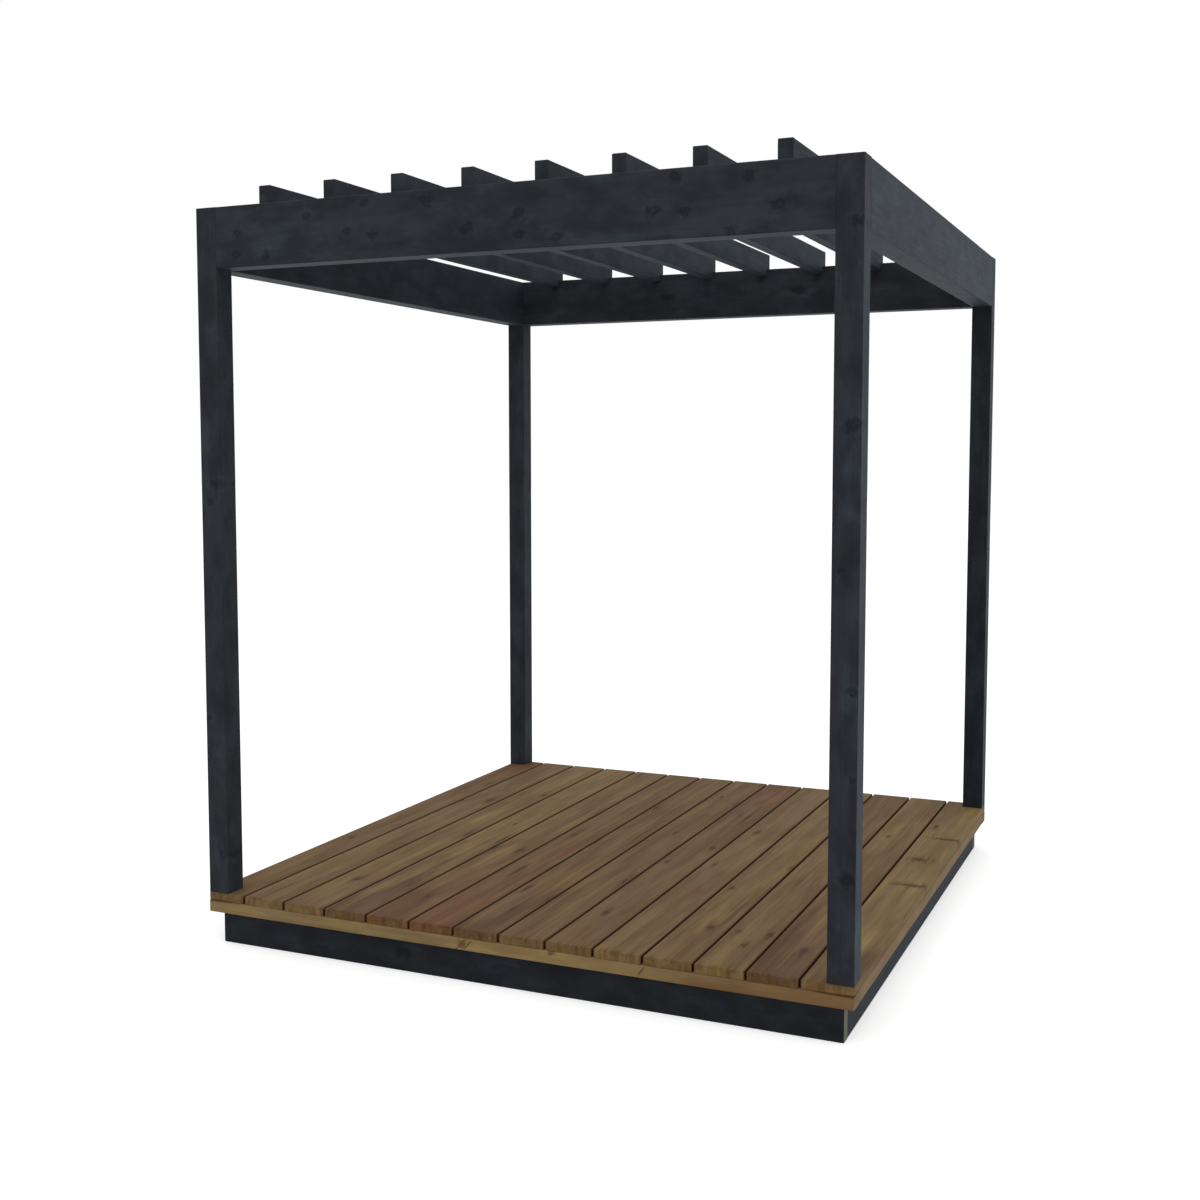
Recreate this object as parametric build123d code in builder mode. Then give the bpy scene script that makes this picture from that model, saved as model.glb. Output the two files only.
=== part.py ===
from build123d import *
import math
import os

# Open garden pergola on its own low timber deck, in millimetres.
# The origin is on the ground under the middle of the deck, the front faces -Y and +Z is up.

# Deck size, which is also the size over the outer faces of the posts
deck_width = 2100.0
deck_depth = 2180.0

# Height of the open frame, from the top of the deck to the tops of the posts and beams
frame_height = 2160.0

# Posts are square, and the beams that butt between them are as thick as the posts
post_size = 75.0
beam_height = 187.0

# Rafters stand on edge and run from the front beam to the back beam, set out a little right of the middle
rafter_thickness = 43.0
rafter_height = 87.0
rafter_pitch = 235.5
rafter_offset = 6.0

# Each rafter end drops into a blind housing in the beam, open on top and on the inner face
housing_depth = 26.0
housing_reach = 35.0
housing_clearance = 0.5

# Deck boards run from front to back, and the last one on the left is ripped to fit
board_width = 145.0
board_thickness = 27.0
board_gap = 6.5

# Flat rim boards under the ends and outer edges of the deck boards
rim_thickness = 38.0

# Plinth boards on edge, set in under the rim, a little more at the sides than at the front and back
plinth_inset = 30.0
plinth_side_inset = 33.0
plinth_thickness = 38.0
plinth_height = 104.0

# Joists on edge across the inside of the plinth
joist_count = 3
joist_thickness = 38.0

# Rounded long edges of the planed timber and of the deck boards, and the eased board ends
arris_radius = 3.0
board_radius = 4.0
board_end_ease = 1.5

# Levels, worked up from the ground
rim_base = plinth_height
board_base = rim_base + rim_thickness
deck_top = board_base + board_thickness
frame_top = deck_top + frame_height
beam_middle = frame_top - beam_height / 2
rafter_middle = frame_top - housing_depth + rafter_height / 2

# Places of the posts, and the clear spans between them
post_x = (deck_width - post_size) / 2
post_y = (deck_depth - post_size) / 2
cross_span = deck_width - 2 * post_size
side_span = deck_depth - 2 * post_size

# Rafters share the width, with about half a pitch left at each side
rafter_count = int(deck_width // rafter_pitch)
rafter_first = rafter_offset - (rafter_count - 1) * rafter_pitch / 2
rafter_places = [rafter_first + index * rafter_pitch for index in range(rafter_count)]
rafter_length = side_span + 2 * (housing_reach - housing_clearance)

# The rim covers the plinth boards and the step in front of them
rim_width = plinth_inset + plinth_thickness
side_rim_width = plinth_side_inset + plinth_thickness
inner_width = deck_width - 2 * side_rim_width
inner_depth = deck_depth - 2 * rim_width
rim_x = (deck_width - side_rim_width) / 2
rim_y = (deck_depth - rim_width) / 2
plinth_x = (inner_width + plinth_thickness) / 2
plinth_y = (inner_depth + plinth_thickness) / 2
joist_pitch = inner_depth / (joist_count + 1)

# Board widths from the right edge: a last strip too narrow for a post is shared by two boards
board_pitch = board_width + board_gap
board_count = math.ceil((deck_width + board_gap) / board_pitch)
board_widths = [board_width] * (board_count - 1)
board_widths.append(deck_width - (board_count - 1) * board_pitch)
if board_widths[-1] < post_size:
    board_widths[-2:] = [sum(board_widths[-2:]) / 2] * 2

os.makedirs("parts", exist_ok=True)


def save(piece, name):
    """Label a finished piece and write it to its own file."""
    piece.part.label = name
    export_step(piece.part, f"parts/{name}.step")


# Four posts, standing on the deck boards flush with the corners of the deck
for end, y in (("front", -post_y), ("back", post_y)):
    for side, x in (("left", -post_x), ("right", post_x)):
        with BuildPart() as post:
            with BuildSketch(Plane.XY.offset(deck_top)):
                with Locations((x, y)):
                    RectangleRounded(post_size, post_size, arris_radius)
            extrude(amount=frame_height)
        save(post, f"post_{end}_{side}")

# Front and back beams, with a housing for every rafter in the inner part of the top
for end, direction in (("front", -1), ("back", 1)):
    with BuildPart() as beam:
        with BuildSketch(Plane.YZ):
            with Locations((direction * post_y, beam_middle)):
                RectangleRounded(post_size, beam_height, arris_radius)
        extrude(amount=cross_span / 2, both=True)
        with BuildSketch(Plane.XY.offset(frame_top)):
            with Locations([(x, direction * side_span / 2) for x in rafter_places]):
                Rectangle(rafter_thickness + 2 * housing_clearance, 2 * housing_reach)
        extrude(amount=-housing_depth, mode=Mode.SUBTRACT)
    save(beam, f"beam_{end}")

# Side beams, between the front and back posts
for side, x in (("left", -post_x), ("right", post_x)):
    with BuildPart() as beam:
        with BuildSketch(Plane.XZ):
            with Locations((x, beam_middle)):
                RectangleRounded(post_size, beam_height, arris_radius)
        extrude(amount=side_span / 2, both=True)
    save(beam, f"beam_{side}")

# Rafters, standing proud of the beams, with their ends hidden in the housings
for number, x in enumerate(rafter_places, start=1):
    with BuildPart() as rafter:
        with BuildSketch(Plane.XZ):
            with Locations((x, rafter_middle)):
                RectangleRounded(rafter_thickness, rafter_height, arris_radius)
        extrude(amount=rafter_length / 2, both=True)
    save(rafter, f"rafter_{number}")

# Deck boards, laid from the right edge and numbered from the left
board_edge = deck_width / 2
for placed, width in enumerate(board_widths):
    with BuildPart() as board:
        with BuildSketch(Plane.XZ):
            with Locations((board_edge - width / 2, board_base + board_thickness / 2)):
                RectangleRounded(width, board_thickness, board_radius)
        extrude(amount=deck_depth / 2, both=True)
        board_ends = board.faces().filter_by(Axis.Y).edges()
        chamfer(board_ends, board_end_ease)
    save(board, f"deck_board_{board_count - placed}")
    board_edge -= width + board_gap

# Front and back rim boards run the full width, and the side ones fit between them
for end, y in (("front", -rim_y), ("back", rim_y)):
    with BuildPart() as rim:
        with BuildSketch(Plane.YZ):
            with Locations((y, rim_base + rim_thickness / 2)):
                RectangleRounded(rim_width, rim_thickness, arris_radius)
        extrude(amount=deck_width / 2, both=True)
    save(rim, f"rim_{end}")

for side, x in (("left", -rim_x), ("right", rim_x)):
    with BuildPart() as rim:
        with BuildSketch(Plane.XZ):
            with Locations((x, rim_base + rim_thickness / 2)):
                RectangleRounded(side_rim_width, rim_thickness, arris_radius)
        extrude(amount=inner_depth / 2, both=True)
    save(rim, f"rim_{side}")

# Plinth boards, the front and back ones showing their sawn ends at the corners
for end, y in (("front", -plinth_y), ("back", plinth_y)):
    with BuildPart() as plinth:
        with BuildSketch(Plane.YZ):
            with Locations((y, plinth_height / 2)):
                RectangleRounded(plinth_thickness, plinth_height, arris_radius)
        extrude(amount=deck_width / 2 - plinth_side_inset, both=True)
    save(plinth, f"plinth_{end}")

for side, x in (("left", -plinth_x), ("right", plinth_x)):
    with BuildPart() as plinth:
        with BuildSketch(Plane.XZ):
            with Locations((x, plinth_height / 2)):
                RectangleRounded(plinth_thickness, plinth_height, arris_radius)
        extrude(amount=inner_depth / 2, both=True)
    save(plinth, f"plinth_{side}")

# Joists, as high as the plinth and the rim together, so that they carry the boards
for number in range(1, joist_count + 1):
    joist_y = number * joist_pitch - inner_depth / 2
    with BuildPart() as joist:
        with BuildSketch(Plane.YZ):
            with Locations((joist_y, board_base / 2)):
                RectangleRounded(joist_thickness, board_base, arris_radius)
        extrude(amount=inner_width / 2, both=True)
    save(joist, f"joist_{number}")
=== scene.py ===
"""Finishes and studio for an open timber pergola with a low deck."""

import math

import bpy
from bpy.props import FloatProperty, FloatVectorProperty, PointerProperty
from bpy.types import NodeSocket, Operator, Panel, PropertyGroup
from mathutils import Euler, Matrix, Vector


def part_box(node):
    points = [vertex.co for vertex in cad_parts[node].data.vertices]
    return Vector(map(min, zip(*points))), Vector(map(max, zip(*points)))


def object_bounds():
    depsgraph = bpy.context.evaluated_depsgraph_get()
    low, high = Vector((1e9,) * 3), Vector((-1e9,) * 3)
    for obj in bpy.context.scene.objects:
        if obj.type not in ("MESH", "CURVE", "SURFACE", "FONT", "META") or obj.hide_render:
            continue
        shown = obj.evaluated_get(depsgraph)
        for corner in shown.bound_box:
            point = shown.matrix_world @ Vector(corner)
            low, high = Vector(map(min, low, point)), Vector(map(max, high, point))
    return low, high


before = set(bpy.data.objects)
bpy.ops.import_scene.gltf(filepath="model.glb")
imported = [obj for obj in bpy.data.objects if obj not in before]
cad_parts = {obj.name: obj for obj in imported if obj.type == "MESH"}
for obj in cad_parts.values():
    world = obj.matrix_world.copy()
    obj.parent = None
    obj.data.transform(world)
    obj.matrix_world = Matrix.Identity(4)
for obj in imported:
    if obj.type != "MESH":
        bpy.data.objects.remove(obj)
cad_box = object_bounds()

bl_info = {
    "name": "Timber Pergola",
    "version": (1, 0, 0),
    "blender": (4, 5, 0),
    "location": "View3D > Sidebar > Pergola",
    "description": "Stains the frame, dresses the deck and lights an open timber pergola",
    "category": "Object",
}

SIDES = ("front", "back", "left", "right")


def colour(name, description, default):
    """A colour property, in scene linear values."""
    return FloatVectorProperty(name=name, description=description, subtype="COLOR", size=3,
                               min=0.0, max=1.0, default=default)


def length(name, description, default):
    """A length property, in metres."""
    return FloatProperty(name=name, description=description, default=default, min=0.0,
                         unit="LENGTH", precision=4)


class StainSettings(PropertyGroup):
    """Charcoal stain on the posts, beams, rafters and plinth."""

    dark: colour("Dark stain", "Stain where the wood took up most of it", (0.0125, 0.0135, 0.0175))
    slate: colour("Slate stain", "Stain on plain wood", (0.0300, 0.0312, 0.0378))
    teal: colour("Blue stain", "Stain where the pale wood shows through", (0.0331, 0.0400, 0.0484))
    knot: colour("Stained knot", "Stain over a knot", (0.0050, 0.0055, 0.0075))
    sawn_end: colour("Sawn end", "Plinth end that was cut after staining", (0.150, 0.145, 0.095))
    ring_spacing: length("Ring spacing", "Distance between the growth rings", 0.006)
    roughness: FloatProperty(name="Roughness", description="Gloss of the stain", default=0.60,
                             min=0.0, max=1.0)


class DeckSettings(PropertyGroup):
    """Brown treated wood of the deck boards and the honey coloured rim under them."""

    umber: colour("Umber", "Dark red brown boards", (0.1411, 0.0836, 0.0464))
    russet: colour("Russet", "Reddish boards", (0.1725, 0.0946, 0.0497))
    brown: colour("Brown", "Plain brown boards", (0.1792, 0.1144, 0.0572))
    tan: colour("Tan", "Paler boards", (0.2016, 0.1342, 0.0670))
    golden: colour("Golden", "Palest boards, with an olive tinge", (0.2218, 0.1562, 0.0734))
    blush: colour("Reddish patch", "Patches of reddish heartwood", (0.160, 0.066, 0.042))
    knot: colour("Knot", "Heart of a knot in the deck", (0.052, 0.031, 0.021))
    # Painted shade: the board edge and gap colours darken the deck boards beside and inside the gaps between
    # them, where shade falls.
    edge: colour("Board edge", "Dirt on the edges beside the gaps", (0.130, 0.066, 0.028))
    gap: colour("Gap", "Dirt on the sides that face a gap", (0.046, 0.024, 0.013))
    rim_pale: colour("Rim, yellow wood", "Yellow wood of the rim", (0.2311, 0.1669, 0.0791))
    rim_warm: colour("Rim, warm wood", "Warmer wood at the right end of the rim", (0.1833, 0.1092, 0.0474))
    joist: colour("Joist", "Plain sawn wood of the joists", (0.30, 0.21, 0.12))
    ring_spacing: length("Ring spacing", "Distance between the growth rings", 0.0055)
    roughness: FloatProperty(name="Roughness", description="Gloss of the boards", default=0.74,
                             min=0.0, max=1.0)


class StageSettings(PropertyGroup):
    """Camera, floor and lamps of the studio."""

    camera_place: FloatVectorProperty(name="Camera place", description="Where the camera stands",
                                      subtype="TRANSLATION", size=3, default=(1.9225, -4.7408, 1.5635))
    camera_heading: FloatProperty(name="Heading", description="Turn to the left of straight ahead",
                                  subtype="ANGLE", default=math.radians(23.608))
    camera_pitch: FloatProperty(name="Pitch", description="Tilt of the view above the level",
                                subtype="ANGLE", default=math.radians(-4.293))
    lens: FloatProperty(name="Lens", description="Focal length", default=43.19, min=1.0,
                        subtype="DISTANCE_CAMERA")
    shift_x: FloatProperty(name="Shift across", description="Sideways shift of the view", default=-0.00195)
    shift_y: FloatProperty(name="Shift up", description="Upward shift of the view", default=-0.0298)
    floor_half: length("Floor", "Half of the floor's side", 60.0)
    floor_colour: colour("Floor colour", "Plain pale floor", (0.80, 0.80, 0.80))
    floor_lift: FloatProperty(name="Floor lift", description="White added where the lens sees the floor",
                              default=0.5, min=0.0)
    sky_strength: FloatProperty(name="Surround", description="Light from all round", default=0.80, min=0.0)
    key_power: FloatProperty(name="Key lamp", description="Power of the key lamp", default=75.0,
                             min=0.0, subtype="POWER")


class Shader:
    """Shorthand for wiring the nodes of one material."""

    def __init__(self, name):
        self.material = bpy.data.materials.new(name)
        self.material.use_nodes = True
        self.tree = self.material.node_tree
        self.surface = self.tree.nodes["Principled BSDF"]
        self.place = self.node("TexCoord").outputs["Object"]

    def feed(self, socket, value):
        """Links a socket, or sets its own value."""
        if isinstance(value, NodeSocket):
            self.tree.links.new(value, socket)
        elif hasattr(value, "__len__") and socket.type == "RGBA" and len(value) == 3:
            socket.default_value = (*value, 1.0)
        else:
            socket.default_value = value

    def node(self, kind, feeds=None, **settings):
        """Adds a node with its settings and feeds its inputs."""
        made = self.tree.nodes.new("ShaderNode" + kind)
        for key, value in settings.items():
            setattr(made, key, value)
        for key, value in (feeds or {}).items():
            self.feed(made.inputs[key], value)
        return made

    def math(self, operation, first, second=0.0, clamp=False):
        """One number from two."""
        return self.node("Math", {0: first, 1: second}, operation=operation, use_clamp=clamp).outputs[0]

    def vector(self, operation, first, second=(0.0, 0.0, 0.0)):
        """One vector from two."""
        return self.node("VectorMath", {0: first, 1: second}, operation=operation).outputs["Vector"]

    def measure(self, vector):
        """Length of a vector."""
        return self.node("VectorMath", {0: vector}, operation="LENGTH").outputs["Value"]

    def noise(self, vector, scale, detail=2.0, roughness=0.5):
        """Soft noise between 0 and 1."""
        feeds = {"Vector": vector, "Scale": scale, "Detail": detail, "Roughness": roughness}
        return self.node("TexNoise", feeds)

    def fade(self, value, low, high, start=0.0, end=1.0):
        """Smooth step of a value from start at low to end at high."""
        feeds = {"Value": value, "From Min": low, "From Max": high, "To Min": start, "To Max": end}
        return self.node("MapRange", feeds, interpolation_type="SMOOTHSTEP").outputs["Result"]

    def mix(self, factor, first, second, blend="MIX"):
        """Mix of two colours."""
        made = self.node("Mix", data_type="RGBA", blend_type=blend)
        self.feed(made.inputs["Factor"], factor)
        self.feed(made.inputs["A"], first)
        self.feed(made.inputs["B"], second)
        return made.outputs["Result"]

    def shade(self, factor, tint, kept):
        """A tint with only a share of its red, green and blue kept, where the factor is 1."""
        return self.mix(factor, tint, kept, "MULTIPLY")

    def nearest_spot(self, spots):
        """Distance to the nearest of some (centre, radii, turn) spots, where 1 is the edge of a spot."""
        nearest = 9.0
        for centre, radii, turn in spots:
            feeds = {"Vector": self.place, "Location": centre, "Rotation": turn, "Scale": radii}
            local = self.node("Mapping", feeds, vector_type="TEXTURE").outputs["Vector"]
            nearest = self.math("MINIMUM", nearest, self.measure(local))
        return nearest

    def ramp(self, factor, stops):
        """Number between 0 and 1 from a curve of (place, value) stops."""
        made = self.node("ValToRGB", {"Fac": factor})
        elements = made.color_ramp.elements
        while len(elements) < len(stops):
            elements.new(0.5)
        for element, (position, value) in zip(elements, stops):
            element.position = position
            element.color = (value, value, value, 1.0)
        return made.outputs["Color"]


# Shares of red, green and blue that are kept under each mark on the deck boards and the rim
BROWN_CLOUD = (0.77, 0.72, 0.69)
DARK_STREAK = (0.68, 0.61, 0.57)
PALE_CLOUD = (1.21, 1.20, 1.04)
PALE_STREAK = (1.28, 1.29, 1.21)
LATE_WOOD = (0.62, 0.54, 0.47)
STRIPE = (0.60, 0.53, 0.48)
FIBRE = (0.72, 0.68, 0.64)
SWIRL = (0.60, 0.50, 0.44)
END_CHECK = (0.55, 0.42, 0.32)
SAWN_FACE = (1.05, 1.02, 0.88)
# Painted shadow along the seam under the outer deck boards
SEAM_SHADOW = (0.36, 0.26, 0.18)
RIM_CLOUD = (0.80, 0.74, 0.66)
RIM_PALE_CLOUD = (1.20, 1.18, 1.05)
RIM_PALE_PATCH = (1.32, 1.30, 1.12)
RIM_LATE_WOOD = (0.70, 0.60, 0.50)
RIM_STRIPE = (0.72, 0.62, 0.52)
RIM_KNOT = (0.42, 0.30, 0.26)
JOIST_LATE_WOOD = (0.6, 0.45, 0.3)

# Shares kept where the stain is thin, in patches and round the knots
THIN_STAIN = (1.35, 1.45, 1.45)
KNOT_HALO = (1.45, 1.55, 1.55)
SHEEN_TINT = (0.42, 0.76, 1.0, 1.0)

# Each material is cut from its own place in the log, this far along from the last one
SEED_STEP = 3.0

GRAIN_TURN = {"X": Euler((0, 0, 0)), "Y": Euler((0, 0, -math.pi / 2)), "Z": Euler((0, math.pi / 2, 0))}

# Reach of a knot through its board, in metres, far past any board
THROUGH = 50.0


class Timber:
    """Growth rings, fibres and knots of one length of timber, cut from a log beside it."""

    def __init__(self, shader, node, grain, pith, tilt, ring_spacing, knots=(), seed=0.0):
        self.shader = shader
        self.low, self.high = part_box(node)
        turn = GRAIN_TURN[grain].copy()
        start = -((self.low + self.high) / 2)
        start.rotate(turn)
        turn.z += tilt
        turn.y += tilt
        start += Vector((seed, -pith[0], -pith[1]))
        self.along = shader.node("Mapping", {"Vector": shader.place, "Location": start,
                                             "Rotation": turn}).outputs["Vector"]
        self.knot_distance = self.hand_knots(knots) if knots else self.chance_knots()
        self.rings = self.ring_bands(ring_spacing)
        self.fibres = self.streaks(7.0, 330.0, 3.0)
        self.stripes = self.streaks(1.6, 75.0, 2.0)

    def hand_knots(self, knots):
        """Distance to the nearest of the listed knots, where 1 is the edge of the knot."""
        shader = self.shader
        wobble = shader.noise(shader.place, 70.0).outputs["Fac"]
        nearest = shader.nearest_spot(knots)
        return shader.math("MULTIPLY", nearest, shader.fade(wobble, 0.3, 0.7, 0.75, 1.25))

    def chance_knots(self):
        """Distance to the nearest of some knots scattered through the log."""
        shader = self.shader
        squashed = shader.vector("MULTIPLY", self.along, (3.6, 8.0, 8.0))
        cells = shader.node("TexVoronoi", {"Vector": squashed, "Scale": 1.0, "Randomness": 0.9})
        chance = shader.node("SeparateColor", {0: cells.outputs["Color"]}).outputs[0]
        size = shader.fade(chance, 0.30, 1.0, 0.01, 0.095)
        return shader.math("DIVIDE", cells.outputs["Distance"], size)

    def ring_bands(self, spacing):
        """Growth rings about the pith, which close round the knots."""
        shader = self.shader
        slow = shader.vector("MULTIPLY", self.along, (0.9, 7.0, 7.0))
        drift = shader.vector("SUBTRACT", shader.noise(slow, 1.0, 3.0).outputs["Color"], (0.5, 0.5, 0.5))
        across = shader.vector("MULTIPLY", self.along, (0.0, 1.0, 1.0))
        bent = shader.vector("ADD", across, shader.vector("MULTIPLY", drift, (0.0, 0.035, 0.035)))
        count = shader.math("DIVIDE", shader.measure(bent), spacing)
        count = shader.math("ADD", count, shader.fade(self.knot_distance, 3.2, 0.3, 0.0, 4.0))
        self.years = shader.node("TexNoise", {"W": count, "Scale": 0.33, "Detail": 1.0},
                                 noise_dimensions="1D").outputs["Fac"]
        turn = shader.math("FRACT", count)
        return shader.ramp(turn, [(0.0, 0.1), (0.45, 0.2), (0.86, 1.0), (0.93, 0.95), (1.0, 0.1)])

    def streaks(self, along, across, detail):
        """Streaks that run with the grain."""
        shader = self.shader
        fine = shader.vector("MULTIPLY", self.along, (along, across, across))
        return shader.noise(fine, 1.0, detail, 0.6).outputs["Fac"]

    def clouds(self, along, across, detail=3.0, shift=0.0):
        """Broad patches, longer with the grain than across it."""
        shader = self.shader
        moved = shader.vector("ADD", self.along, (shift, 0.0, 0.0))
        broad = shader.vector("MULTIPLY", moved, (along, across, across))
        return shader.noise(broad, 1.0, detail, 0.55).outputs["Fac"]

    def bump(self, strength, distance):
        """Relief of the fibres and rings."""
        shader = self.shader
        height = shader.math("ADD", shader.math("MULTIPLY", self.fibres, 0.6),
                             shader.math("MULTIPLY", self.rings, 0.4))
        return shader.node("Bump", {"Strength": strength, "Distance": distance, "Height": height}).outputs[0]


def end_face(shader, axis):
    """1 on the faces square to an axis, and 0 on the others."""
    normal = shader.node("SeparateXYZ", {0: shader.node("TexCoord").outputs["Normal"]}).outputs[axis]
    return shader.math("GREATER_THAN", shader.math("ABSOLUTE", normal), 0.8)


def dress(node, material):
    """Gives a CAD node its material."""
    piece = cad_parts[node]
    if not piece.material_slots:
        piece.data.materials.append(material)
    for slot in piece.material_slots:
        slot.material = material


def finish_surface(shader, tint, timber, roughness, specular, relief):
    """Colour, gloss and relief of a timber surface."""
    surface = shader.surface
    shader.feed(surface.inputs["Base Color"], tint)
    gloss = shader.fade(timber.fibres, 0.2, 0.8, roughness - 0.07, roughness + 0.07)
    shader.feed(surface.inputs["Roughness"], gloss)
    surface.inputs["Specular IOR Level"].default_value = specular
    shader.feed(surface.inputs["Normal"], timber.bump(0.5, relief))


def stained_timber(name, grain, seed, pith, settings, knots=(), painted_shade_kept=1.0, raw_ends=False):
    """Charcoal stain over knotty softwood, cloudy where the wood took it up unevenly."""
    shader = Shader("stain_" + name)
    timber = Timber(shader, name, grain, pith, math.radians(0.5), settings.ring_spacing, knots, seed)
    hue = shader.fade(timber.clouds(2.5, 11.0, 2.0, 7.0), 0.46, 0.64)
    tint = shader.mix(hue, settings.slate, settings.teal)
    cloud = shader.fade(timber.clouds(8.0, 15.0, 3.0), 0.36, 0.66, 0.0, 0.60)
    tint = shader.mix(cloud, tint, settings.dark)
    light = shader.fade(timber.clouds(14.0, 22.0, 3.0, 11.0), 0.56, 0.74, 0.0, 0.45)
    tint = shader.shade(light, tint, THIN_STAIN)
    tint = shader.mix(shader.fade(timber.stripes, 0.45, 0.75, 0.0, 0.16), tint, settings.dark)
    tint = shader.mix(shader.math("MULTIPLY", timber.rings, 0.12), tint, settings.dark)
    uneven = shader.fade(timber.clouds(60.0, 90.0), 0.3, 0.7, -0.45, 0.45)
    ragged = shader.math("ADD", timber.knot_distance, uneven)
    tint = shader.shade(shader.fade(ragged, 3.2, 1.6, 0.0, 0.30), tint, KNOT_HALO)
    heart = shader.math("MULTIPLY", shader.fade(ragged, 2.2, 0.6, 0.0, 0.60),
                        shader.fade(ragged, 0.1, 0.7, 0.55, 1.0))
    tint = shader.mix(heart, tint, settings.knot)
    # Painted shade: the whole piece is darkened to this share of its colour where it stands in shade.
    if painted_shade_kept != 1.0:
        tint = shader.shade(1.0, tint, (painted_shade_kept, painted_shade_kept, painted_shade_kept))
    if raw_ends:
        tint = shader.mix(end_face(shader, grain), tint, settings.sawn_end)
    finish_surface(shader, tint, timber, settings.roughness, 0.05, 0.0004)
    shader.surface.inputs["Sheen Weight"].default_value = 0.048
    shader.surface.inputs["Sheen Roughness"].default_value = 0.5
    shader.surface.inputs["Sheen Tint"].default_value = SHEEN_TINT
    return shader.material


def deck_timber(name, seed, pith, look, settings, outer):
    """Brown treated softwood, with its own tones, knots and reddish patches on each board."""
    shader = Shader("deck_" + name)
    knots = deck_spots(look["knots"])
    timber = Timber(shader, name, "Y", pith, math.radians(0.6), settings.ring_spacing, knots, seed)
    spot = shader.node("SeparateXYZ", {0: shader.place})
    drift = shader.fade(timber.clouds(2.5, 12.0), 0.3, 0.7, -0.35, 0.35)
    wander = shader.math("ADD", spot.outputs["Y"], drift)
    tint = shader.mix(shader.fade(wander, *look["change"]), getattr(settings, look["front"]),
                      getattr(settings, look["back"]))
    tint = shader.shade(shader.fade(timber.clouds(2.2, 14.0), 0.38, 0.64, 0.0, 0.85), tint, BROWN_CLOUD)
    dark_streak = shader.fade(timber.clouds(3.2, 48.0, 4.0, 3.0), 0.50, 0.72, 0.0, 0.6)
    tint = shader.shade(dark_streak, tint, DARK_STREAK)
    tint = shader.shade(shader.fade(timber.clouds(1.2, 24.0, 3.0, 9.0), 0.46, 0.70), tint, PALE_CLOUD)
    if look["pale"]:
        streak = shader.fade(shader.nearest_spot(deck_spots(look["pale"])), 1.3, 0.2, 0.0, 0.9)
        tint = shader.shade(streak, tint, PALE_STREAK)
    red = shader.fade(timber.clouds(2.6, 17.0, 3.0, 5.0), 0.56, 0.76, 0.0, look["red"])
    if look["patches"]:
        near = shader.fade(shader.nearest_spot(deck_spots(look["patches"])), 1.4, 0.2, 0.0, 0.9)
        ragged = shader.fade(timber.streaks(6.0, 40.0, 3.0), 0.35, 0.65, 0.15, 1.0)
        red = shader.math("MAXIMUM", red, shader.math("MULTIPLY", near, ragged))
    tint = shader.mix(red, tint, settings.blush)
    line = shader.math("MULTIPLY", timber.rings, shader.fade(timber.years, 0.35, 0.7, 0.05, 0.70))
    tint = shader.shade(line, tint, LATE_WOOD)
    tint = shader.shade(shader.fade(timber.stripes, 0.42, 0.78, 0.0, look["stripes"]), tint, STRIPE)
    tint = shader.shade(shader.fade(timber.fibres, 0.35, 0.8, 0.0, 0.35), tint, FIBRE)
    swirl = shader.nearest_spot(deck_spots(look["knots"], 1.7, 3.2))
    swirl = shader.math("ADD", swirl, shader.fade(timber.streaks(9.0, 90.0, 2.0), 0.3, 0.7, -0.35, 0.35))
    tint = shader.shade(shader.fade(swirl, 1.1, 0.25, 0.0, 0.75), tint, SWIRL)
    tint = shader.mix(shader.fade(timber.knot_distance, 1.4, 0.4, 0.0, 0.75), tint, settings.knot)
    reach = timber.high.y
    depth = shader.math("ABSOLUTE", spot.outputs["Y"])
    checks = shader.noise(shader.vector("MULTIPLY", shader.place, (90.0, 6.0, 12.0)), 1.0, 3.0).outputs["Fac"]
    split = shader.math("MULTIPLY", shader.fade(depth, reach - 0.030, reach - 0.002),
                        shader.fade(checks, 0.45, 0.65, 0.0, 0.45))
    tint = shader.shade(split, tint, END_CHECK)
    tint = shader.shade(end_face(shader, "Y"), tint, SAWN_FACE)
    middle = (timber.low.x + timber.high.x) / 2
    half = (timber.high.x - timber.low.x) / 2
    side = shader.math("SUBTRACT", spot.outputs["X"], middle)
    if outer:
        side = shader.math("MULTIPLY", side, -outer)
        # Painted shadow along the seam with the rim at the outer corner
        tint = painted_seam_shadow(shader, tint, outer, timber.low.z)
    else:
        side = shader.math("ABSOLUTE", side)
    # Painted shade: the board darkens beside and inside the gaps, where shade falls.
    tint = shader.mix(shader.fade(side, half - 0.0065, half - 0.0015, 0.0, 0.85), tint, settings.edge)
    tint = shader.mix(shader.fade(side, half - 0.0018, half - 0.0002, 0.0, 0.85), tint, settings.gap)
    finish_surface(shader, tint, timber, settings.roughness, 0.10, 0.0005)
    return shader.material


def deck_spots(places, wider=1.0, longer=1.0):
    """Spots at (x, y, half width, half length) on the deck, which run through the boards."""
    return [((x, y, 0.0), (wider * rx, longer * ry, THROUGH), (0.0, 0.0, 0.0)) for x, y, rx, ry in places]


def painted_seam_shadow(shader, tint, outer, seam):
    """Painted shadow: a dark line along the seam under the outer corner of a deck board, widest at the
    corner.
    """
    corner = ((outer * 1.06, cad_box[0].y, seam), (0.13, 0.03, 0.0045), (0.0, 0.0, 0.0))
    return shader.shade(shader.fade(shader.nearest_spot([corner]), 1.2, 0.6, 0.0, 0.8), tint, SEAM_SHADOW)


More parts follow.
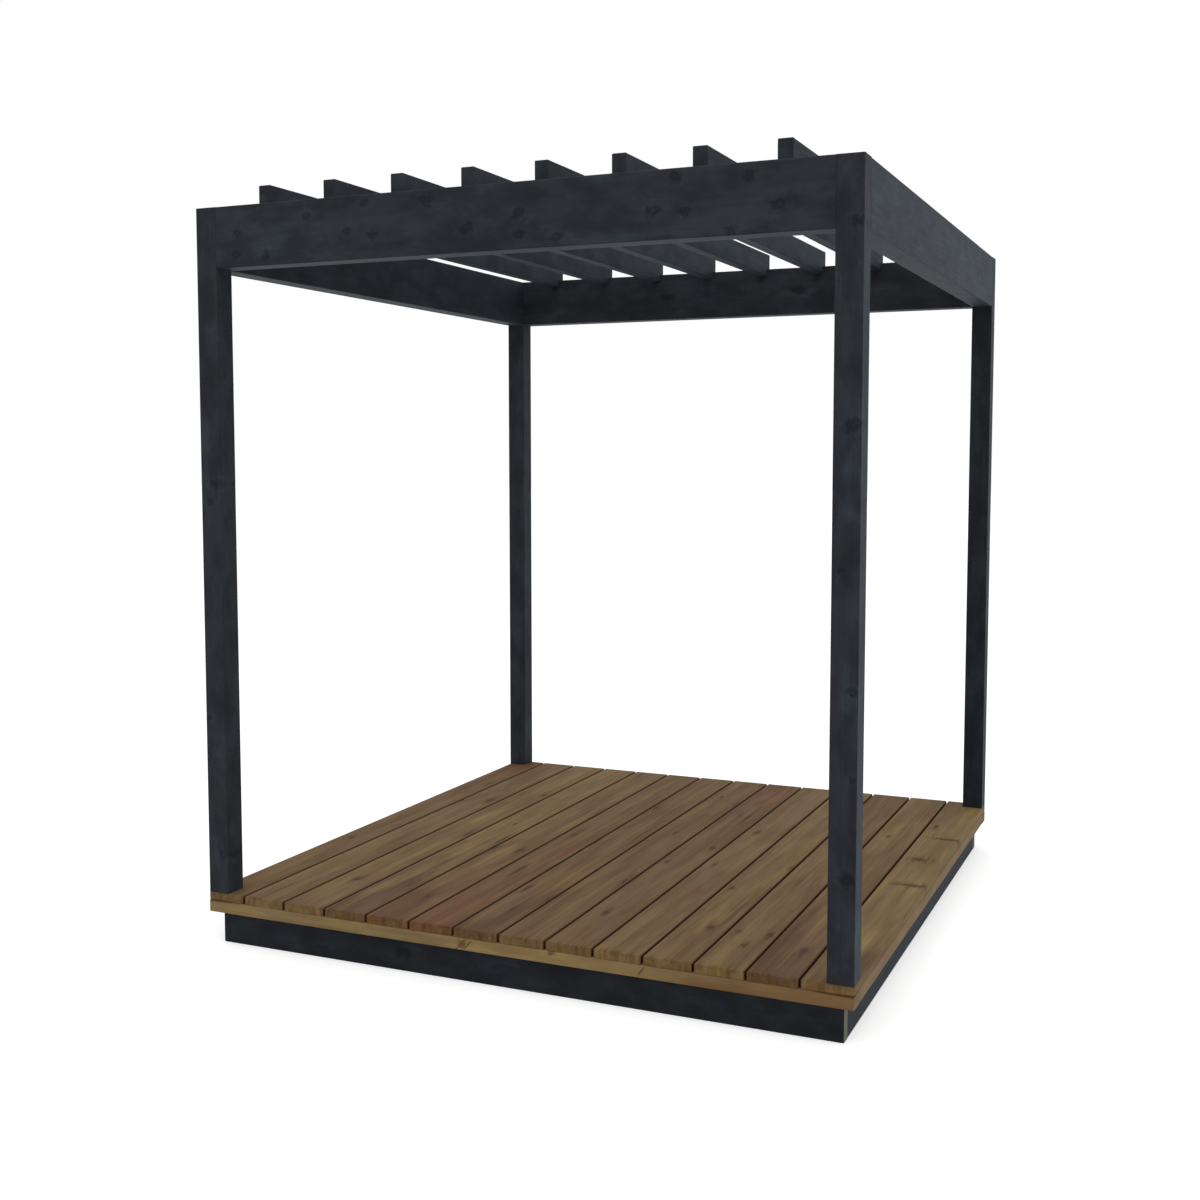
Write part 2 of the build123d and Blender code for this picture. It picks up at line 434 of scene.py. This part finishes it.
def honey_timber(name, grain, seed, settings, warm, knots=(), shadow_corners=(), pale=()):
    """Yellow treated softwood, warmer towards the right of the deck."""
    shader = Shader("honey_" + name)
    timber = Timber(shader, name, grain, (0.03, 0.09), math.radians(0.4), settings.ring_spacing, knots, seed)
    across = shader.node("SeparateXYZ", {0: shader.place}).outputs["X"]
    wander = shader.math("ADD", across, shader.fade(timber.clouds(2.0, 12.0), 0.3, 0.7, -0.25, 0.25))
    tint = shader.mix(shader.fade(wander, *warm), settings.rim_pale, settings.rim_warm)
    tint = shader.shade(shader.fade(timber.clouds(6.0, 30.0), 0.38, 0.66, 0.0, 0.7), tint, RIM_CLOUD)
    pale_cloud = shader.fade(timber.clouds(4.0, 24.0, 2.0, 4.0), 0.50, 0.70, 0.0, 0.8)
    tint = shader.shade(pale_cloud, tint, RIM_PALE_CLOUD)
    if pale:
        stretch = shader.fade(shader.nearest_spot(pale), 1.4, 0.2, 0.0, 0.85)
        tint = shader.shade(stretch, tint, RIM_PALE_PATCH)
    tint = shader.shade(shader.math("MULTIPLY", timber.rings, 0.35), tint, RIM_LATE_WOOD)
    tint = shader.shade(shader.fade(timber.stripes, 0.45, 0.75, 0.0, 0.4), tint, RIM_STRIPE)
    tint = shader.shade(shader.fade(timber.knot_distance, 1.8, 0.6, 0.0, 0.85), tint, RIM_KNOT)
    # Painted shadow along the seam under the outer boards at each listed corner
    for outer in shadow_corners:
        tint = painted_seam_shadow(shader, tint, outer, timber.high.z)
    finish_surface(shader, tint, timber, 0.70, 0.18, 0.0005)
    return shader.material


def sawn_timber(name, grain, seed, settings):
    """Plain sawn softwood of the joists."""
    shader = Shader("sawn_" + name)
    timber = Timber(shader, name, grain, (0.02, -0.08), math.radians(0.5), settings.ring_spacing, (), seed)
    tint = shader.shade(shader.math("MULTIPLY", timber.rings, 0.5), settings.joist, JOIST_LATE_WOOD)
    tint = shader.mix(shader.fade(timber.knot_distance, 1.3, 0.7, 0.0, 0.8), tint, settings.knot)
    finish_surface(shader, tint, timber, 0.82, 0.2, 0.0008)
    return shader.material


def front_knots(places, turn=0.0, length=1.25):
    """Knots at (x, z, radius) on a front face, which run through to the back."""
    return [((x, 0.0, z), (length * radius, THROUGH, radius), (0.0, turn, 0.0)) for x, z, radius in places]


POST_KNOTS = {
    "post_front_left": front_knots([(-0.990, 0.295, 0.011), (-0.935, 1.07, 0.008), (-0.994, 1.474, 0.010),
                                    (-1.020, 1.422, 0.007), (-1.045, 0.732, 0.008), (-0.900, 2.00, 0.009)]),
    "post_front_right": front_knots([(1.026, 0.453, 0.012), (1.035, 0.951, 0.009), (1.029, 1.645, 0.013),
                                     (1.036, 2.158, 0.011), (1.038, 0.72, 0.006), (1.00, 1.27, 0.006)]),
}
BEAM_KNOTS = front_knots([
    (-0.898, 2.246, 0.010), (-0.899, 2.180, 0.009), (-0.784, 2.171, 0.010), (-0.640, 2.284, 0.008),
    (-0.496, 2.225, 0.009), (-0.410, 2.211, 0.009), (-0.436, 2.305, 0.008), (-0.226, 2.296, 0.013),
    (-0.096, 2.211, 0.012), (0.070, 2.242, 0.012), (0.073, 2.184, 0.010), (0.187, 2.169, 0.009),
    (0.478, 2.220, 0.012), (0.567, 2.212, 0.010), (0.541, 2.305, 0.010), (0.744, 2.295, 0.011),
    (0.826, 2.215, 0.012), (0.696, 2.150, 0.010),
])


class PERGOLA_OT_stain_posts(Operator):
    """Stain the four posts"""

    bl_idname = "pergola.stain_posts"
    bl_label = "Stain posts"

    def execute(self, context):
        names = [f"post_{end}_{side}" for end in SIDES[:2] for side in SIDES[2:]]
        for seed, name in enumerate(names):
            # Painted shade: the back right post is darkened because it stands in shade under the roof.
            painted_shade_kept = 0.72 if name == "post_back_right" else 1.0
            dress(name, stained_timber(name, "Z", SEED_STEP * seed, (0.05, 0.03), context.scene.pergola_stain,
                                       POST_KNOTS.get(name, ()), painted_shade_kept))
        return {"FINISHED"}


class PERGOLA_OT_stain_beams(Operator):
    """Stain the four beams"""

    bl_idname = "pergola.stain_beams"
    bl_label = "Stain beams"

    def execute(self, context):
        for seed, side in enumerate(SIDES):
            grain = "X" if side in SIDES[:2] else "Y"
            knots = BEAM_KNOTS if side == "front" else ()
            # Painted shade: the left and back beams, seen on their shaded inner faces, are darkened.
            painted_shade_kept = {"left": 0.91, "back": 0.95}.get(side, 1.0)
            material = stained_timber(f"beam_{side}", grain, 20 + SEED_STEP * seed, (0.06, -0.03),
                                      context.scene.pergola_stain, knots, painted_shade_kept)
            dress(f"beam_{side}", material)
        return {"FINISHED"}


class PERGOLA_OT_stain_rafters(Operator):
    """Stain the rafters"""

    bl_idname = "pergola.stain_rafters"
    bl_label = "Stain rafters"

    def execute(self, context):
        for name in sorted(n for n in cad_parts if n.startswith("rafter_")):
            seed = 40 + SEED_STEP * int(name.split("_")[-1])
            dress(name, stained_timber(name, "Y", seed, (0.05, 0.02), context.scene.pergola_stain))
        return {"FINISHED"}


class PERGOLA_OT_stain_plinth(Operator):
    """Stain the plinth boards, but not their sawn ends"""

    bl_idname = "pergola.stain_plinth"
    bl_label = "Stain plinth"

    def execute(self, context):
        for seed, side in enumerate(SIDES):
            grain = "X" if side in SIDES[:2] else "Y"
            # Painted shade: the plinth is darkened, most on its sides, because it stands in shade under the
            # rim's overhang.
            painted_shade_kept = 0.68 if side in SIDES[:2] else 0.60
            material = stained_timber(f"plinth_{side}", grain, 80 + SEED_STEP * seed, (0.05, -0.06),
                                      context.scene.pergola_stain, painted_shade_kept=painted_shade_kept, raw_ends=True)
            dress(f"plinth_{side}", material)
        return {"FINISHED"}


def board(front, back=None, change=(-1.2, 1.2), red=0.15, stripes=0.4, knots=(), patches=(), pale=()):
    """Look of one deck board: tones at its ends, and knots and patches at (x, y, half width, half length)."""
    return {"front": front, "back": back or front, "change": change, "red": red, "stripes": stripes,
            "knots": knots, "patches": patches, "pale": pale}


BOARDS = {
    1: board("brown", "russet", (0.4, 1.0), 0.2,
             knots=[(-1.00, -0.35, 0.008, 0.018), (-0.95, 0.62, 0.007, 0.016)],
             pale=[(-0.970, -0.850, 0.060, 0.200)]),
    2: board("tan", knots=[(-0.802, 0.355, 0.014, 0.030), (-0.907, 0.310, 0.007, 0.013)]),
    3: board("tan", "golden", red=0.05, stripes=0.5,
             knots=[(-0.690, -0.785, 0.012, 0.018), (-0.633, -0.130, 0.009, 0.035),
                    (-0.640, 0.520, 0.008, 0.015)],
             pale=[(-0.740, -0.800, 0.050, 0.300), (-0.634, 0.210, 0.008, 0.220),
                   (-0.690, 0.130, 0.045, 0.240)]),
    4: board("umber", "golden", (-0.95, -0.30), stripes=0.5,
             knots=[(-0.480, -0.150, 0.006, 0.060), (-0.540, 0.060, 0.007, 0.014)],
             pale=[(-0.590, 0.000, 0.030, 0.260)]),
    5: board("russet", "tan", (-0.95, -0.15), 0.12,
             knots=[(-0.352, -0.260, 0.011, 0.020), (-0.450, -0.267, 0.007, 0.022),
                    (-0.382, -0.860, 0.008, 0.016)],
             pale=[(-0.390, -0.330, 0.045, 0.180)]),
    6: board("russet", "brown", (-0.8, 0.4), 0.3,
             knots=[(-0.247, -0.477, 0.008, 0.055), (-0.265, 0.010, 0.007, 0.014)],
             patches=[(-0.187, -0.205, 0.022, 0.080), (-0.225, -0.575, 0.030, 0.100),
                      (-0.240, -0.930, 0.040, 0.170)]),
    7: board("umber", "brown", (-1.15, -0.75), 0.15, 0.5,
             knots=[(-0.150, -0.065, 0.007, 0.020), (-0.132, -0.650, 0.007, 0.030),
                    (-0.142, 0.512, 0.007, 0.020), (-0.015, -0.725, 0.008, 0.020),
                    (-0.075, -0.860, 0.006, 0.014)],
             pale=[(-0.075, -0.560, 0.045, 0.240)]),
    8: board("brown", red=0.25, knots=[(0.130, -0.455, 0.008, 0.035), (0.145, 0.122, 0.007, 0.020),
                                       (0.135, 0.675, 0.009, 0.022), (0.067, 0.182, 0.006, 0.013),
                                       (0.040, 0.790, 0.006, 0.013)],
             patches=[(0.037, -0.215, 0.022, 0.090)]),
    9: board("brown", "russet", (0.2, 1.2), 0.25, 0.45,
             knots=[(0.243, 0.520, 0.008, 0.068), (0.262, 0.040, 0.008, 0.015),
                    (0.172, -0.185, 0.007, 0.014), (0.202, -0.777, 0.010, 0.018)],
             patches=[(0.210, 0.745, 0.030, 0.090), (0.225, 0.940, 0.030, 0.080)]),
    10: board("tan", red=0.15, knots=[(0.345, 0.310, 0.009, 0.018), (0.445, 0.340, 0.006, 0.030),
                                      (0.337, -0.155, 0.007, 0.014)],
              patches=[(0.390, -0.470, 0.022, 0.090)]),
    11: board("tan", "golden", (-0.9, 0.5), 0.05, 0.65,
              knots=[(0.543, -0.782, 0.012, 0.020), (0.477, -0.387, 0.007, 0.014),
                     (0.592, -0.095, 0.006, 0.022)],
              pale=[(0.520, -0.720, 0.045, 0.180)]),
    12: board("tan", "brown", (0.0, 1.2), 0.1, 0.6,
              knots=[(0.724, -0.777, 0.009, 0.016), (0.630, -0.785, 0.008, 0.016),
                     (0.682, -0.890, 0.008, 0.014)]),
    13: board("umber", "tan", (-1.1, 0.2), 0.3, 0.5, knots=[(0.852, -0.864, 0.012, 0.018),
                                                            (0.80, 0.45, 0.007, 0.015)],
              pale=[(0.826, -0.480, 0.040, 0.260)]),
    14: board("brown", "golden", (-1.0, -0.45), 0.1, 0.25,
              knots=[(0.967, 0.190, 0.030, 0.018), (1.003, -0.125, 0.050, 0.011),
                     (0.937, 0.660, 0.008, 0.030), (1.010, 0.490, 0.042, 0.009)],
              pale=[(0.980, -0.720, 0.045, 0.160)]),
}


class PERGOLA_OT_finish_deck(Operator):
    """Give each deck board its own grain, tones and knots"""

    bl_idname = "pergola.finish_deck"
    bl_label = "Finish deck boards"

    def execute(self, context):
        for number, look in BOARDS.items():
            lean = 0.11 if number % 2 else -0.09
            pith = (lean + 0.03 * math.sin(2.4 * number), -0.045 - 0.02 * math.cos(1.7 * number))
            outer = {1: -1, 14: 1}.get(number, 0)
            name = f"deck_board_{number}"
            seed = 120 + SEED_STEP * number
            dress(name, deck_timber(name, seed, pith, look, context.scene.pergola_deck, outer))
        return {"FINISHED"}


RIM_PALE = front_knots([(0.13, 0.123, 0.028), (-0.10, 0.123, 0.022)], 0.0, 6.0)
RIM_KNOTS = (front_knots([(-0.131, 0.123, 0.0035), (-0.109, 0.121, 0.0025)], math.radians(-48.0), 6.5)
             + front_knots([(-0.127, 0.122, 0.009), (0.165, 0.140, 0.008)])
             + front_knots([(0.445, 0.124, 0.003)], math.radians(-55.0), 4.5))


class PERGOLA_OT_finish_rim(Operator):
    """Finish the honey coloured rim boards"""

    bl_idname = "pergola.finish_rim"
    bl_label = "Finish rim"

    def execute(self, context):
        for seed, side in enumerate(SIDES):
            grain = "X" if side in SIDES[:2] else "Y"
            knots = RIM_KNOTS if side == "front" else ()
            # Corners of the front rim that get the painted seam shadow
            shadow_corners = (-1, 1) if side == "front" else ()
            pale = RIM_PALE if side == "front" else ()
            warm = (0.15, 0.62) if grain == "X" else (0.6, 2.0)
            material = honey_timber(f"rim_{side}", grain, 200 + SEED_STEP * seed,
                                    context.scene.pergola_deck, warm, knots, shadow_corners, pale)
            dress(f"rim_{side}", material)
        return {"FINISHED"}


class PERGOLA_OT_finish_joists(Operator):
    """Finish the joists under the deck"""

    bl_idname = "pergola.finish_joists"
    bl_label = "Finish joists"

    def execute(self, context):
        for name in sorted(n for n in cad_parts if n.startswith("joist_")):
            seed = 240 + SEED_STEP * int(name.split("_")[-1])
            dress(name, sawn_timber(name, "X", seed, context.scene.pergola_deck))
        return {"FINISHED"}


def seen_by_lens(tree):
    """1 for rays that show the surround itself, straight, in a gloss or through glass."""
    path = tree.nodes.new("ShaderNodeLightPath")
    seen = path.outputs["Is Camera Ray"]
    for output in ("Is Glossy Ray", "Is Transmission Ray"):
        either = tree.nodes.new("ShaderNodeMath")
        either.operation = "MAXIMUM"
        tree.links.new(seen, either.inputs[0])
        tree.links.new(path.outputs[output], either.inputs[1])
        seen = either.outputs[0]
    return seen


def light_surround(scene, strength):
    """Even white light from all round, which the lens sees as plain white."""
    world = bpy.data.worlds.new("surround")
    world.use_nodes = True
    scene.world = world
    tree = world.node_tree
    background = tree.nodes["Background"]
    background.inputs["Color"].default_value = (1.0, 1.0, 1.0, 1.0)
    level = tree.nodes.new("ShaderNodeMapRange")
    level.inputs["To Min"].default_value = strength
    level.inputs["To Max"].default_value = 1.0
    tree.links.new(seen_by_lens(tree), level.inputs["Value"])
    tree.links.new(level.outputs["Result"], background.inputs["Strength"])


def paint_floor(floor, stage):
    """Pale matt floor that keeps its shadows and meets the white surround without a line."""
    shader = Shader("floor_paint")
    surface = shader.surface
    surface.inputs["Base Color"].default_value = (*stage.floor_colour, 1.0)
    surface.inputs["Roughness"].default_value = 0.9
    surface.inputs["Specular IOR Level"].default_value = 0.0
    surface.inputs["Emission Color"].default_value = (1.0, 1.0, 1.0, 1.0)
    place = shader.node("SeparateXYZ", {0: shader.vector("ABSOLUTE", shader.place)})
    past_side = shader.math("GREATER_THAN", place.outputs["X"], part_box("plinth_right")[1].x)
    past_end = shader.math("GREATER_THAN", place.outputs["Y"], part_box("plinth_back")[1].y)
    outside = shader.math("MAXIMUM", past_side, past_end)
    lift = shader.math("MULTIPLY", seen_by_lens(shader.tree), outside)
    shader.feed(surface.inputs["Emission Strength"], shader.math("MULTIPLY", lift, stage.floor_lift))
    floor.data.materials.append(shader.material)


def add_lamp(name, place, target, size, power):
    """A soft square lamp aimed at a point."""
    bpy.ops.object.light_add(type="AREA", location=place)
    lamp = bpy.context.object
    lamp.name = name
    lamp.rotation_euler = (Vector(target) - Vector(place)).to_track_quat("-Z", "Y").to_euler()
    lamp.data.size = size
    lamp.data.energy = power


class PERGOLA_OT_build_stage(Operator):
    """Lay the floor, light the studio and place the camera"""

    bl_idname = "pergola.build_stage"
    bl_label = "Build stage"

    def execute(self, context):
        stage = context.scene.pergola_stage
        bpy.ops.object.select_all(action="DESELECT")
        bpy.ops.mesh.primitive_plane_add(size=2 * stage.floor_half, location=(0.0, 0.0, cad_box[0].z))
        floor = context.object
        floor.name = "floor"
        bpy.ops.object.transform_apply(location=True)
        paint_floor(floor, stage)
        light_surround(context.scene, stage.sky_strength)
        add_lamp("key_lamp", (1.0, -2.5, 6.0), (0.0, 0.0, 0.5), 5.0, stage.key_power)
        bpy.ops.object.camera_add(location=stage.camera_place,
                                  rotation=(math.pi / 2 + stage.camera_pitch, 0.0, stage.camera_heading))
        camera = context.object
        camera.name = "camera"
        camera.data.lens = stage.lens
        camera.data.shift_x = stage.shift_x
        camera.data.shift_y = stage.shift_y
        camera.data.clip_end = 200.0
        context.scene.camera = camera
        context.scene.view_settings.view_transform = "Standard"
        return {"FINISHED"}


OPERATORS = (
    PERGOLA_OT_stain_posts,
    PERGOLA_OT_stain_beams,
    PERGOLA_OT_stain_rafters,
    PERGOLA_OT_stain_plinth,
    PERGOLA_OT_finish_deck,
    PERGOLA_OT_finish_rim,
    PERGOLA_OT_finish_joists,
    PERGOLA_OT_build_stage,
)


class PERGOLA_PT_panel(Panel):
    """Steps and settings of the pergola"""

    bl_idname = "PERGOLA_PT_panel"
    bl_label = "Pergola"
    bl_space_type = "VIEW_3D"
    bl_region_type = "UI"
    bl_category = "Pergola"

    def draw(self, context):
        for group in GROUPS:
            box = self.layout.box()
            box.label(text=group.__doc__.split(",")[0].rstrip("."))
            for name in group.__annotations__:
                box.prop(getattr(context.scene, GROUPS[group]), name)
        for operator in OPERATORS:
            self.layout.operator(operator.bl_idname)


GROUPS = {StainSettings: "pergola_stain", DeckSettings: "pergola_deck", StageSettings: "pergola_stage"}


def register():
    for group, name in GROUPS.items():
        bpy.utils.register_class(group)
        setattr(bpy.types.Scene, name, PointerProperty(type=group))
    for operator in OPERATORS:
        bpy.utils.register_class(operator)
    bpy.utils.register_class(PERGOLA_PT_panel)


def unregister():
    bpy.utils.unregister_class(PERGOLA_PT_panel)
    for operator in reversed(OPERATORS):
        bpy.utils.unregister_class(operator)
    for group, name in reversed(GROUPS.items()):
        delattr(bpy.types.Scene, name)
        bpy.utils.unregister_class(group)


def main():
    """Runs every step in order."""
    register()
    bpy.ops.pergola.stain_posts()
    bpy.ops.pergola.stain_beams()
    bpy.ops.pergola.stain_rafters()
    bpy.ops.pergola.stain_plinth()
    bpy.ops.pergola.finish_deck()
    bpy.ops.pergola.finish_rim()
    bpy.ops.pergola.finish_joists()
    bpy.ops.pergola.build_stage()


if __name__ == "__main__":
    main()
